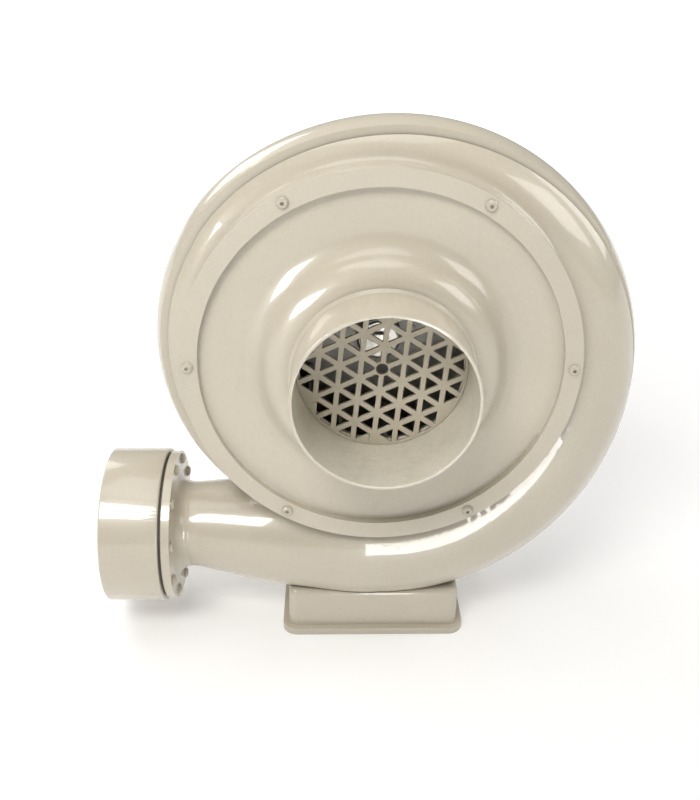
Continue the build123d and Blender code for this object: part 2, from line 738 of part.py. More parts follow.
with BuildPart() as back_plate:
    with BuildSketch(facing_back(plate_front)):
        Circle(drum_radius)
    extrude(amount=plate_thickness)
    with BuildSketch(facing_back(plate_front + plate_thickness)):
        with PolarLocations(0, plate_rib_count):
            with Locations(((plate_rib_inner + plate_rib_outer) / 2, 0)):
                Rectangle(plate_rib_outer - plate_rib_inner, plate_rib_width)
    extrude(amount=plate_rib_height, taper=4)
    with BuildSketch(facing_back(plate_front)):
        Circle(shield_spigot + slip)
        with PolarLocations(shield_screw_circle, shield_screw_count, start_angle=30):
            Circle(m6_shank + slip)
        with PolarLocations(seat_screw_circle, plate_screw_count, start_angle=plate_screw_start):
            Circle(m5_clear)
    extrude(amount=plate_thickness, mode=Mode.SUBTRACT)
back_plate.part.label = "back_plate"
export_step(back_plate.part, "parts/back_plate.step")

plate_screw = hexagon_screw(8, 3.5, m5_shank, plate_thickness + gasket_thickness + 10)
with BuildPart() as back_plate_screws:
    with Locations(facing_back(shield_front)):
        with PolarLocations(seat_screw_circle, plate_screw_count, start_angle=plate_screw_start):
            add(plate_screw)
back_plate_screws.part.label = "back_plate_screws"
export_step(back_plate_screws.part, "parts/back_plate_screws.step")


# ---------------------------------------------------------------- turned pieces
def turned(outline):
    """Solid turned about the rotor axis from a closed outline of (depth, radius) corners."""
    with BuildPart() as piece:
        with BuildSketch(turning):
            with BuildLine():
                Polyline(outline + [outline[0]])
            make_face()
        revolve(axis=rotor_axis)
    return piece.part


def ring(start, width, inner, outer):
    return turned([(start, inner), (start, outer), (start + width, outer), (start + width, inner)])


def race(start, size, groove_share, inner, outer):
    """A bearing race: a ring with a groove for the balls half way along it."""
    bore, outside, width = size
    ball_circle = (bore + outside) / 2
    with BuildPart() as piece:
        add(ring(start, width, inner, outer))
        with BuildSketch(turning):
            with Locations((start + width / 2, ball_circle)):
                Circle((outside - bore) * groove_share)
        revolve(axis=rotor_axis, mode=Mode.SUBTRACT)
    return piece.part


def outer_race(start, size):
    bore, outside, width = size
    section = outside - bore
    return race(start, size, ball_share + race_gap / section, outside - race_share * section, outside)


def inner_race(start, size):
    bore, outside, width = size
    section = outside - bore
    return race(start, size, ball_share, bore, bore + race_share * section)


def ball_set(start, size):
    bore, outside, width = size
    with BuildPart() as balls:
        with Locations(facing(start + width / 2)):
            with PolarLocations((bore + outside) / 2, ball_count):
                Sphere((outside - bore) * ball_share)
    return balls.part


bearings = (("front", front_bearing_start, front_bearing), ("rear", rear_bearing_start, rear_bearing))
for end, start, size in bearings:
    pieces = (("outer_race", outer_race), ("inner_race", inner_race), ("balls", ball_set))
    for name, make in pieces:
        piece = make(start, size)
        piece.label = end + "_bearing_" + name
        export_step(piece, "parts/" + piece.label + ".step")

# ---------------------------------------------------------------- impeller
disc_back = backplate_depth + backplate_thickness
hub_front = backplate_depth - hub_nose
hub_back = disc_back + hub_tail
with BuildPart() as impeller_hub:
    add(
        turned(
            [
                (hub_front, shaft_seat),
                (hub_front, hub_radius - 2),
                (hub_front + 2, hub_radius),
                (disc_back, hub_radius),
                (disc_back, hub_flange_radius),
                (disc_back + hub_flange_thickness, hub_flange_radius),
                (disc_back + hub_flange_thickness, hub_radius + 3),
                (hub_back, hub_radius),
                (hub_back, shaft_seat),
            ]
        )
    )
    with BuildSketch(facing_back(disc_back)):
        with PolarLocations(rivet_circle, rivet_count):
            Circle(rivet_radius)
    extrude(amount=hub_flange_thickness, mode=Mode.SUBTRACT)
    with BuildSketch(facing_back(hub_front + shaft_recess)):
        with Locations((0, shaft_seat)):
            Rectangle(key_width, key_width)
    extrude(amount=hub_back - hub_front, mode=Mode.SUBTRACT)
impeller_hub.part.label = "impeller_hub"
export_step(impeller_hub.part, "parts/impeller_hub.step")

with BuildPart() as impeller_backplate:
    with BuildSketch(facing_back(backplate_depth)):
        Circle(impeller_radius)
        Circle(hub_radius, mode=Mode.SUBTRACT)
        with PolarLocations(rivet_circle, rivet_count):
            Circle(rivet_radius, mode=Mode.SUBTRACT)
    extrude(amount=backplate_thickness)
impeller_backplate.part.label = "impeller_backplate"
export_step(impeller_backplate.part, "parts/impeller_backplate.step")

eye_back = -eye_depth + eye_length
shroud_slope = (-tip_depth - eye_back) / (impeller_radius - eye_radius)
shroud_line = [(-eye_depth, eye_radius), (eye_back, eye_radius), (-tip_depth, impeller_radius)]
with BuildPart() as impeller_shroud:
    with BuildSketch(turning):
        with BuildLine():
            Polyline(shroud_line)
            offset(amount=shroud_thickness, side=Side.LEFT)
        make_face()
    revolve(axis=rotor_axis)
impeller_shroud.part.label = "impeller_shroud"
export_step(impeller_shroud.part, "parts/impeller_shroud.step")

blade_tip = impeller_radius - 1
tip_point = (blade_tip * cos(radians(blade_lag)), blade_tip * sin(radians(blade_lag)))
rim_inside = -tip_depth - (impeller_radius - blade_tip) * shroud_slope
channel = turned(
    [
        (backplate_depth, blade_root - 5),
        (backplate_depth, blade_tip),
        (rim_inside, blade_tip),
        (eye_back, eye_radius),
        (backplate_depth - blade_inlet_width, blade_root - 5),
    ]
)
with BuildSketch() as blade_line:
    with BuildLine():
        RadiusArc((blade_root, 0), tip_point, -blade_bow)
    trace(line_width=blade_thickness)
with BuildPart() as impeller_blades:
    with BuildSketch(facing(backplate_depth)):
        with PolarLocations(0, blade_count):
            add(blade_line.sketch)
    extrude(amount=backplate_depth + eye_depth)
    add(channel, mode=Mode.INTERSECT)
impeller_blades.part.label = "impeller_blades"
export_step(impeller_blades.part, "parts/impeller_blades.step")

rivet_head = 1.5
with BuildPart() as impeller_rivets:
    for start, length, size in (
        (backplate_depth - rivet_head, rivet_head, rivet_radius * 1.6),
        (backplate_depth, backplate_thickness + hub_flange_thickness, rivet_radius),
        (disc_back + hub_flange_thickness, rivet_head, rivet_radius * 1.6),
    ):
        with BuildSketch(facing_back(start)):
            with PolarLocations(rivet_circle, rivet_count):
                Circle(size)
        extrude(amount=length)
impeller_rivets.part.label = "impeller_rivets"
export_step(impeller_rivets.part, "parts/impeller_rivets.step")

shaft_nose = hub_front + shaft_recess
key_inner = shaft_seat - key_width * 0.6
with BuildPart() as impeller_key:
    with BuildSketch(facing_back(shaft_nose + shaft_recess)):
        with Locations((0, (key_inner + shaft_seat + key_width * 0.4) / 2)):
            Rectangle(key_width - slip, key_width)
    extrude(amount=key_length)
impeller_key.part.label = "impeller_key"
export_step(impeller_key.part, "parts/impeller_key.step")

impeller_washer = ring(hub_front - washer_thickness, washer_thickness, m8_shank + slip, washer_radius)
impeller_washer.label = "impeller_washer"
export_step(impeller_washer, "parts/impeller_washer.step")

with BuildPart() as impeller_bolt:
    with Locations(facing(hub_front - washer_thickness)):
        add(hexagon_screw(13, m8_head_height, m8_shank, bolt_length))
impeller_bolt.part.label = "impeller_bolt"
export_step(impeller_bolt.part, "parts/impeller_bolt.step")

# ---------------------------------------------------------------- shaft and rotor
front_bearing_end = front_bearing_start + front_bearing[2]
rear_bearing_end = rear_bearing_start + rear_bearing[2]
cowl_start = barrel_back + 1
cowl_back = cowl_start + cowl_length
fan_start = barrel_back + rear_shield_thickness + fan_gap
fan_end = fan_start + fan_disc + fan_blade_height
shaft_end = fan_end + 5
with BuildPart() as shaft:
    add(
        turned(
            [
                (shaft_nose, 0),
                (shaft_nose, shaft_seat),
                (plate_front - 1, shaft_seat),
                (plate_front - 1, front_journal),
                (front_bearing_end, front_journal),
                (front_bearing_end, shaft_body),
                (rear_bearing_start, shaft_body),
                (rear_bearing_start, rear_journal),
                (rear_bearing_end, rear_journal),
                (rear_bearing_end, fan_journal),
                (shaft_end, fan_journal),
                (shaft_end, 0),
            ]
        )
    )
    with BuildSketch(facing_back(shaft_nose)):
        Circle(m8_shank + slip)
    extrude(amount=bolt_hole_depth, mode=Mode.SUBTRACT)
    with BuildSketch(facing_back(shaft_nose + shaft_recess)):
        with Locations((0, key_inner + key_width / 2)):
            Rectangle(key_width, key_width)
    extrude(amount=key_length, mode=Mode.SUBTRACT)
shaft.part.label = "shaft"
export_step(shaft.part, "parts/shaft.step")

stack_start = (barrel_front + barrel_back - stack_length) / 2
stack_end = stack_start + stack_length
rotor_core = ring(stack_start, stack_length, shaft_body, rotor_radius)
rotor_core.label = "rotor_core"
export_step(rotor_core, "parts/rotor_core.step")

cage_outside = rotor_radius - 1
with BuildPart() as rotor_cage:
    add(ring(stack_start - cage_length, cage_length, cage_outside - cage_width, cage_outside))
    add(ring(stack_end, cage_length, cage_outside - cage_width, cage_outside))
rotor_cage.part.label = "rotor_cage"
export_step(rotor_cage.part, "parts/rotor_cage.step")

# ---------------------------------------------------------------- stator
bore = motor_radius - motor_wall
stator_core = ring(stack_start, stack_length, rotor_radius + air_gap, bore - running)
stator_core.label = "stator_core"
export_step(stator_core, "parts/stator_core.step")

with BuildPart() as stator_windings:
    with BuildSketch(turning):
        for middle in (stack_start - winding_length / 2, stack_end + winding_length / 2):
            with Locations((middle, (rotor_radius + bore) / 2)):
                RectangleRounded(winding_length, winding_width, 4)
    revolve(axis=rotor_axis)
stator_windings.part.label = "stator_windings"
export_step(stator_windings.part, "parts/stator_windings.step")

# ---------------------------------------------------------------- motor housing
register = bore - slip
seal_end = plate_front + 1 + seal_width
spigot_front = shield_front - shield_spigot_length
pocket = front_bearing[1] + running
with BuildPart() as motor_front_shield:
    add(
        turned(
            [
                (spigot_front, seal_radius + running),
                (spigot_front, shield_spigot),
                (shield_front, shield_spigot),
                (shield_front, shield_flange),
                (barrel_front, shield_flange),
                (barrel_front, register),
                (barrel_front + register_length, register),
                (barrel_front + register_length, register - register_wall),
                (barrel_front, register - register_wall),
                (barrel_front, pocket + shield_boss_wall),
                (front_bearing_end, pocket + shield_boss_wall),
                (front_bearing_end, pocket),
                (front_bearing_start, pocket),
                (front_bearing_start, seal_radius + 2),
                (front_bearing_start - 1, seal_radius + 2),
                (front_bearing_start - 1, front_journal + 0.5),
                (seal_end, front_journal + 0.5),
                (seal_end, seal_radius + running),
            ]
        )
    )
    with BuildSketch(facing_back(shield_front)):
        with PolarLocations(shield_screw_circle, shield_screw_count, start_angle=30):
            Circle(m6_clear)
        with PolarLocations(tie_bolt_circle, 4, start_angle=tie_bolt_start):
            Circle(m5_shank + slip)
    extrude(amount=shield_flange_thickness, mode=Mode.SUBTRACT)
motor_front_shield.part.label = "motor_front_shield"
export_step(motor_front_shield.part, "parts/motor_front_shield.step")

shaft_seal = ring(seal_end - seal_width, seal_width, front_journal + running, seal_radius)
shaft_seal.label = "shaft_seal"
export_step(shaft_seal, "parts/shaft_seal.step")

screw_reach = shield_flange_thickness + plate_thickness - 0.5
flange_screw = socket_screw(m6_head, m6_head_height, m6_shank, screw_reach, 3.4)
with BuildPart() as motor_flange_screws:
    with Locations(facing_back(barrel_front)):
        with PolarLocations(shield_screw_circle, shield_screw_count, start_angle=30):
            add(flange_screw)
motor_flange_screws.part.label = "motor_flange_screws"
export_step(motor_flange_screws.part, "parts/motor_flange_screws.step")

pad_top = box_base
pad_angle = 40.0
with BuildPart() as motor_barrel:
    with BuildSketch(facing_back(barrel_front)):
        Circle(motor_radius)
    extrude(amount=barrel_length)
    with BuildSketch(facing_back(barrel_front + fin_start)):
        for fin in range(fin_count):
            angle = 360 * (fin + 0.5) / fin_count
            beside_bolt = abs((angle - tie_bolt_start + 45) % 90 - 45) < 7
            if not beside_bolt and abs(angle - 90) > pad_angle:
                with PolarLocations(0, 1, start_angle=angle):
                    with Locations(((fin_tip + bore + 1) / 2, 0)):
                        Rectangle(fin_tip - bore - 1, fin_thickness)
    extrude(amount=barrel_length - fin_start - bearing_depth)
    with BuildSketch(facing_back(barrel_front + (barrel_length - box_depth) / 2)):
        with Locations((0, (pad_top + bore) / 2)):
            Rectangle(pad_length, pad_top - bore)
    extrude(amount=box_depth)
    with BuildSketch(facing_back(barrel_front)):
        Circle(bore)
    extrude(amount=barrel_length, mode=Mode.SUBTRACT)
    with BuildSketch(Plane.XY.offset(shaft_height)):
        with Locations((0, casing_y + (barrel_front + barrel_back) / 2)):
            Circle(cable_hole)
    extrude(amount=pad_top, mode=Mode.SUBTRACT)
    with BuildSketch(Plane.XY.offset(shaft_height + pad_top)):
        with Locations((0, casing_y + (barrel_front + barrel_back) / 2)):
            with GridLocations(pad_length - 24, box_depth - 24, 2, 2):
                Circle(m4_shank + slip)
    extrude(amount=-9, mode=Mode.SUBTRACT)
motor_barrel.part.label = "motor_barrel"
export_step(motor_barrel.part, "parts/motor_barrel.step")

rear_face = barrel_back + rear_shield_thickness
rear_pocket = rear_bearing[1] + running
washer_end = rear_bearing_end + 1
with BuildPart() as motor_rear_shield:
    add(
        turned(
            [
                (rear_face, rear_journal + 0.5),
                (rear_face, motor_radius),
                (barrel_back, motor_radius),
                (barrel_back, register),
                (barrel_back - register_length, register),
                (barrel_back - register_length, register - register_wall),
                (barrel_back, register - register_wall),
                (barrel_back, rear_pocket + shield_boss_wall),
                (rear_bearing_start, rear_pocket + shield_boss_wall),
                (rear_bearing_start, rear_pocket),
                (washer_end, rear_pocket),
                (washer_end, rear_journal + 0.5),
            ]
        )
    )
    with BuildSketch(facing_back(barrel_back)):
        with PolarLocations(tie_bolt_circle, 4, start_angle=tie_bolt_start):
            Circle(tie_lug_radius)
    extrude(amount=rear_shield_thickness)
    with BuildSketch(facing_back(barrel_back)):
        with PolarLocations(tie_bolt_circle, 4, start_angle=tie_bolt_start):
            Circle(m5_clear)
    extrude(amount=rear_shield_thickness, mode=Mode.SUBTRACT)
    for angle in tie_bolt_angles:
        with BuildSketch(cowl_place(angle, tie_bolt_circle + tie_lug_radius)):
            Circle(m3_shank + slip)
        extrude(amount=-(cowl_screw_length - cowl_wall), mode=Mode.SUBTRACT)
motor_rear_shield.part.label = "motor_rear_shield"
export_step(motor_rear_shield.part, "parts/motor_rear_shield.step")

wave_washer = ring(rear_bearing_end + slip, 1 - 2 * slip, rear_bearing[1] - 3, rear_bearing[1] - slip)
wave_washer.label = "wave_washer"
export_step(wave_washer, "parts/wave_washer.step")

tie_length = rear_face - shield_front - 2
with BuildPart() as tie_bolts:
    with Locations(facing_back(rear_face)):
        with PolarLocations(tie_bolt_circle, 4, start_angle=tie_bolt_start):
            add(hexagon_screw(tie_bolt_head, 3.5, m5_shank, tie_length))
tie_bolts.part.label = "tie_bolts"
export_step(tie_bolts.part, "parts/tie_bolts.step")

# ---------------------------------------------------------------- cooling fan
with BuildPart() as cooling_fan:
    with BuildSketch(facing_back(fan_start)):
        Circle(fan_radius)
    extrude(amount=fan_disc)
    with BuildSketch(facing_back(fan_start)):
        Circle(fan_hub_radius)
        with PolarLocations(0, fan_blade_count):
            with Locations(((fan_hub_radius + fan_radius) / 2, 0)):
                Rectangle(fan_radius - fan_hub_radius + 2, fan_disc)
    extrude(amount=fan_end - fan_start)
    with BuildSketch(facing_back(fan_start)):
        Circle(fan_journal)
    extrude(amount=fan_end - fan_start, mode=Mode.SUBTRACT)
cooling_fan.part.label = "cooling_fan"
export_step(cooling_fan.part, "parts/cooling_fan.step")

fan_clip = ring(fan_end, 1, fan_journal, fan_journal + 3)
fan_clip.label = "fan_clip"
export_step(fan_clip, "parts/fan_clip.step")

cowl_outside = cowl_radius + cowl_wall
with BuildPart() as fan_cowl:
    with BuildSketch(facing_back(cowl_start)):
        Circle(cowl_outside)
    extrude(amount=cowl_length)
    fillet(fan_cowl.edges().group_by(Axis.Y)[-1], 6)
    with BuildSketch(facing_back(cowl_start)):
        Circle(cowl_radius)
    extrude(amount=cowl_length - cowl_wall * 4, mode=Mode.SUBTRACT)
    with BuildSketch(facing_back(cowl_start)):
        Circle(cowl_radius - 6)
    extrude(amount=cowl_length - cowl_wall, mode=Mode.SUBTRACT)
    with BuildSketch(facing_back(cowl_back - cowl_wall)):
        with PolarLocations((cowl_slot_inner + cowl_slot_outer) / 2, cowl_slot_count):
            SlotOverall(cowl_slot_outer - cowl_slot_inner, cowl_slot_width)
    extrude(amount=cowl_wall, mode=Mode.SUBTRACT)
    for angle in tie_bolt_angles:
        with BuildSketch(cowl_place(angle, cowl_outside)):
            Circle(m3_shank + slip)
        extrude(amount=-2 * cowl_wall, mode=Mode.SUBTRACT)
fan_cowl.part.label = "fan_cowl"
export_step(fan_cowl.part, "parts/fan_cowl.step")

cowl_screw = socket_screw(m3_head, m3_head_height, m3_shank, cowl_screw_length, 2.0)
with BuildPart() as fan_cowl_screws:
    for angle in tie_bolt_angles:
        with Locations(cowl_place(angle, cowl_outside)):
            add(cowl_screw)
fan_cowl_screws.part.label = "fan_cowl_screws"
export_step(fan_cowl_screws.part, "parts/fan_cowl_screws.step")

# ---------------------------------------------------------------- terminal box
box_middle = casing_y + (barrel_front + barrel_back) / 2
box_bottom = shaft_height + box_base
box_top = box_bottom + box_height
post_x = box_length / 2 - box_post_radius
post_y = box_depth / 2 - box_post_radius
hold_x = pad_length / 2 - 12
hold_y = box_depth / 2 - 12
gland_height = box_bottom + box_height / 2


def box_plane(height):
    return Plane(origin=(0, box_middle, height))


def box_side(x):
    """Plane across the gland's axis at a place along X, facing +X."""
    return Plane(origin=(x, box_middle, gland_height), x_dir=(0, 1, 0), z_dir=(1, 0, 0))


with BuildPart() as terminal_box:
    with BuildSketch(box_plane(box_bottom)):
        RectangleRounded(box_length, box_depth, box_corner)
    extrude(amount=box_height)
    with BuildSketch(box_plane(box_bottom + box_wall)):
        RectangleRounded(box_length - 2 * box_wall, box_depth - 2 * box_wall, box_corner - box_wall)
    extrude(amount=box_height, mode=Mode.SUBTRACT)
    with BuildSketch(box_plane(box_bottom)):
        with GridLocations(2 * post_x, 2 * post_y, 2, 2):
            Circle(box_post_radius)
    extrude(amount=box_height)
    with BuildSketch(box_plane(box_top)):
        with GridLocations(2 * post_x, 2 * post_y, 2, 2):
            Circle(m4_shank + slip)
    extrude(amount=-12, mode=Mode.SUBTRACT)
    with BuildSketch(box_plane(box_bottom)):
        Circle(cable_hole)
        with GridLocations(2 * hold_x, 2 * hold_y, 2, 2):
            Circle(m4_shank + slip)
    extrude(amount=box_wall, mode=Mode.SUBTRACT)
    with BuildSketch(box_side(box_length / 2)):
        Circle(gland_radius - 2 + slip)
    extrude(amount=-box_wall, mode=Mode.SUBTRACT)
terminal_box.part.label = "terminal_box"
export_step(terminal_box.part, "parts/terminal_box.step")

with BuildPart() as terminal_box_screws:
    with Locations(box_plane(box_bottom + box_wall)):
        with GridLocations(2 * hold_x, 2 * hold_y, 2, 2):
            add(socket_screw(3.5, 2.6, m4_shank, box_wall + 8, 2.5))
terminal_box_screws.part.label = "terminal_box_screws"
export_step(terminal_box_screws.part, "parts/terminal_box_screws.step")

with BuildPart() as lid_seal:
    with BuildSketch(box_plane(box_top)):
        RectangleRounded(box_length, box_depth, box_corner)
        inner = RectangleRounded(
            box_length - 2 * box_wall,
            box_depth - 2 * box_wall,
            box_corner - box_wall,
            mode=Mode.SUBTRACT,
        )
        with GridLocations(2 * post_x, 2 * post_y, 2, 2):
            Circle(box_post_radius)
            Circle(m4_shank + slip, mode=Mode.SUBTRACT)
    extrude(amount=lid_gasket)
lid_seal.part.label = "terminal_box_seal"
export_step(lid_seal.part, "parts/terminal_box_seal.step")

lid_bottom = box_top + lid_gasket
with BuildPart() as terminal_box_lid:
    with BuildSketch(box_plane(lid_bottom)):
        RectangleRounded(box_length, box_depth, box_corner)
    extrude(amount=lid_thickness)
    chamfer(terminal_box_lid.edges().group_by(Axis.Z)[-1], 1.2)
    with BuildSketch(box_plane(lid_bottom)):
        with GridLocations(2 * post_x, 2 * post_y, 2, 2):
            Circle(m4_shank + slip)
    extrude(amount=lid_thickness, mode=Mode.SUBTRACT)
terminal_box_lid.part.label = "terminal_box_lid"
export_step(terminal_box_lid.part, "parts/terminal_box_lid.step")

with BuildPart() as terminal_lid_screws:
    with Locations(box_plane(lid_bottom + lid_thickness)):
        with GridLocations(2 * post_x, 2 * post_y, 2, 2):
            add(socket_screw(3.5, 2.6, m4_shank, lid_thickness + lid_gasket + 9, 2.5))
terminal_lid_screws.part.label = "terminal_lid_screws"
export_step(terminal_lid_screws.part, "parts/terminal_lid_screws.step")

block_length = terminal_count * terminal_pitch
block_place = -box_length / 2 + box_wall + 14
with BuildPart() as terminal_block:
    with BuildSketch(box_plane(box_bottom + box_wall)):
        with Locations((block_place, 0)):
            Rectangle(16, block_length)
    extrude(amount=14)
    with BuildSketch(box_plane(box_bottom + box_wall + 14)):
        with Locations((block_place, 0)):
            with GridLocations(0, terminal_pitch, 1, terminal_count):
                Rectangle(17, terminal_pitch - 2)
    extrude(amount=-5, mode=Mode.SUBTRACT)
terminal_block.part.label = "terminal_block"
export_step(terminal_block.part, "parts/terminal_block.step")

with BuildPart() as terminal_screws:
    with Locations(box_plane(box_bottom + box_wall + 9)):
        with Locations((block_place, 0)):
            with GridLocations(0, terminal_pitch, 1, terminal_count):
                Cylinder(3, 3, align=(Align.CENTER, Align.CENTER, Align.MIN))
terminal_screws.part.label = "terminal_screws"
export_step(terminal_screws.part, "parts/terminal_screws.step")

capacitor_place = box_length / 2 - box_wall - capacitor_radius - 12
capacitor_plane = Plane(
    origin=(capacitor_place, box_middle - capacitor_length / 2, box_bottom + box_wall + capacitor_radius + slip),
    x_dir=(-1, 0, 0),
    z_dir=(0, 1, 0),
)
with BuildPart() as run_capacitor:
    with BuildSketch(capacitor_plane):
        Circle(capacitor_radius)
    extrude(amount=capacitor_length)
    fillet(run_capacitor.edges().filter_by(GeomType.CIRCLE), 1.5)
run_capacitor.part.label = "run_capacitor"
export_step(run_capacitor.part, "parts/run_capacitor.step")

with BuildPart() as cable_gland:
    with BuildSketch(box_side(box_length / 2 - box_wall)):
        Circle(gland_radius - 2)
    extrude(amount=gland_reach)
    with BuildSketch(box_side(box_length / 2)):
        RegularPolygon(gland_radius, 6, major_radius=False)
    extrude(amount=5)
    with BuildSketch(box_side(box_length / 2 - box_wall)):
        Circle(4.5)
    extrude(amount=gland_reach, mode=Mode.SUBTRACT)
cable_gland.part.label = "cable_gland"
export_step(cable_gland.part, "parts/cable_gland.step")

with BuildPart() as gland_nut:
    with BuildSketch(box_side(box_length / 2 + 6)):
        RegularPolygon(gland_radius, 6, major_radius=False)
    extrude(amount=10)
    with BuildSketch(box_side(box_length / 2 + 16)):
        Circle(gland_radius - 1)
    extrude(amount=4, taper=20)
    with BuildSketch(box_side(box_length / 2)):
        Circle(gland_radius - 2 + running)
    extrude(amount=gland_reach - box_wall + running, mode=Mode.SUBTRACT)
    with BuildSketch(box_side(box_length / 2)):
        Circle(4.5)
    extrude(amount=30, mode=Mode.SUBTRACT)
gland_nut.part.label = "gland_nut"
export_step(gland_nut.part, "parts/gland_nut.step")
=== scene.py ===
# %% [markdown]
# # A centrifugal exhaust blower
# The blower draws air in through the collar on its flat cover, throws it outwards with the impeller in its
# snail-shaped volute, and blows it out through the collar at the side. A motor behind the volute turns the
# impeller. All its solids come from CAD and already have their true shapes and places. This lesson gives
# the castings soft edges, paints every piece with procedural materials, and sets up a table, soft lights
# and a camera. Lengths are metres, with X to the right, Y away from the camera and Z up.

# %% Load the CAD frame
import json
import math
import bpy
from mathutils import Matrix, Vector

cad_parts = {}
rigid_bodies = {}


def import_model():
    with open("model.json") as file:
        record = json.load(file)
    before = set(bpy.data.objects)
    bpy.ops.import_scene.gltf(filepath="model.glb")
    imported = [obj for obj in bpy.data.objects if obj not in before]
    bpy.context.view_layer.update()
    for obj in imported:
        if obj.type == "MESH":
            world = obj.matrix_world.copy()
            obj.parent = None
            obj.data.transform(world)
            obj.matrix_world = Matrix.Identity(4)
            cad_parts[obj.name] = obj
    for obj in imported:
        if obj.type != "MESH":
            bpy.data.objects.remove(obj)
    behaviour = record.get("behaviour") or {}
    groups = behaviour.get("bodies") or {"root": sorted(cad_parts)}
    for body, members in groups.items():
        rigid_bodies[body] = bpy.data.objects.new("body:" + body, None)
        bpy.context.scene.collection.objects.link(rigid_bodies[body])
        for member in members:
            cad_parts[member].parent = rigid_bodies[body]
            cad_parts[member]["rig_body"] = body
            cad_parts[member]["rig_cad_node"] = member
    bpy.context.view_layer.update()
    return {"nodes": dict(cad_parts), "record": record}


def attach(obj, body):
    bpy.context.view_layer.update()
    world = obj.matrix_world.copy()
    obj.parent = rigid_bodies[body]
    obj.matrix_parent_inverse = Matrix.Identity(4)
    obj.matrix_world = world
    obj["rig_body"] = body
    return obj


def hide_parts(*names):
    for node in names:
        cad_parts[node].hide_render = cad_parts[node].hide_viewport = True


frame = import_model()
nodes = frame["nodes"]

MM = 0.001
shaft_middle = Vector((0, -32 * MM, 288 * MM))      # a point on the shaft, which runs along Y

# %% [markdown]
# ## Small tools for node groups
# Wear, grain, dust and painted shade in corners could be painted into each material by hand, but the same
# effects come back on paint, metal, rubber and plastic. So each effect is a node group with a few inputs for
# its size. What it puts out is only a mask or a height, and a material decides what that changes. Every
# pattern reads object coordinates, so it stays put on a piece when the piece moves.

# %% Helpers that add nodes


def effect_group(name, inputs, outputs):
    """A new node group with number inputs {name: value} and named outputs, plus object coordinates."""
    tree = bpy.data.node_groups.new(name, "ShaderNodeTree")
    for label, value in inputs.items():
        socket = tree.interface.new_socket(name=label, in_out="INPUT", socket_type="NodeSocketFloat")
        socket.default_value = value
    for label in outputs:
        tree.interface.new_socket(name=label, in_out="OUTPUT", socket_type="NodeSocketFloat")
    start = tree.nodes.new("NodeGroupInput")
    end = tree.nodes.new("NodeGroupOutput")
    place = tree.nodes.new("ShaderNodeTexCoord")
    return tree, start, end, place


def math_node(tree, operation, a, b, c=0.0, clamp=False):
    """A Math node on up to three values, each a socket or a number."""
    node = tree.nodes.new("ShaderNodeMath")
    node.operation = operation
    node.use_clamp = clamp
    for slot, value in enumerate((a, b, c)):
        if isinstance(value, (int, float)):
            node.inputs[slot].default_value = value
        else:
            tree.links.new(value, node.inputs[slot])
    return node.outputs[0]


def noise(tree, place, scale, detail, roughness):
    """A noise texture in object coordinates. scale is a socket or a number."""
    node = tree.nodes.new("ShaderNodeTexNoise")
    node.inputs["Detail"].default_value = detail
    node.inputs["Roughness"].default_value = roughness
    tree.links.new(place.outputs["Object"], node.inputs["Vector"])
    if isinstance(scale, (int, float)):
        node.inputs["Scale"].default_value = scale
    else:
        tree.links.new(scale, node.inputs["Scale"])
    return node.outputs["Fac"]


def spread(tree, value, low, high):
    """Stretches the part of value between low and high over 0 to 1."""
    node = tree.nodes.new("ShaderNodeMapRange")
    node.inputs["From Min"].default_value = low
    node.inputs["From Max"].default_value = high
    tree.links.new(value, node.inputs["Value"])
    return node.outputs["Result"]


# %% [markdown]
# ## Cast skin
# Enamel on a sand casting is never quite even: it keeps slow waves from the mould and a fine grain from
# the sand. Two noise textures of very different scale give both. A bump is enough, because the waves are
# far too shallow to change the outline.

# %% Cast skin group
cast_skin, start, end, place = effect_group("Cast skin", {"Grain": 420.0, "Waves": 26.0}, ["Height", "Mask"])
grain = noise(cast_skin, place, start.outputs["Grain"], detail=4, roughness=0.6)
waves = noise(cast_skin, place, start.outputs["Waves"], detail=2, roughness=0.4)
cast_skin.links.new(math_node(cast_skin, "MULTIPLY_ADD", grain, 0.35, waves), end.inputs["Height"])
cast_skin.links.new(spread(cast_skin, grain, 0.35, 0.7), end.inputs["Mask"])
print(cast_skin.name, "nodes:", len(cast_skin.nodes))

# %% [markdown]
# ## Handling marks
# A blower that has been carried and fitted has smudges where hands and rags have been. They are patches
# with a broken edge, so a broad noise is multiplied by a finer one that eats into it.

# %% Handling marks group
marks, start, end, place = effect_group("Handling marks", {"Patches": 14.0}, ["Mask"])
patches = spread(marks, noise(marks, place, start.outputs["Patches"], detail=5, roughness=0.6), 0.45, 0.72)
streaks = spread(marks, noise(marks, place, 160.0, detail=3, roughness=0.7), 0.3, 0.75)
marks.links.new(math_node(marks, "MULTIPLY", patches, streaks, clamp=True), end.inputs["Mask"])
print(marks.name, "nodes:", len(marks.nodes))

# %% [markdown]
# ## Dust and painted shade
# Dust gathers where nobody wipes: beside screw heads, in the groove round the cover, between the motor's
# fins. Ambient occlusion finds those corners from the geometry itself, so no mask has to be painted, and
# a fine noise breaks the mask into specks. On the enamel and the bare metal the mask darkens the colour,
# so there it is painted shade in the corners as well as dust. On dark rubber and plastic it lightens like
# dust.

# %% Dust and painted shade group
dust_and_shade, start, end, place = effect_group("Dust and painted shade", {"Reach": 12 * MM, "Spots": 900.0}, ["Mask"])
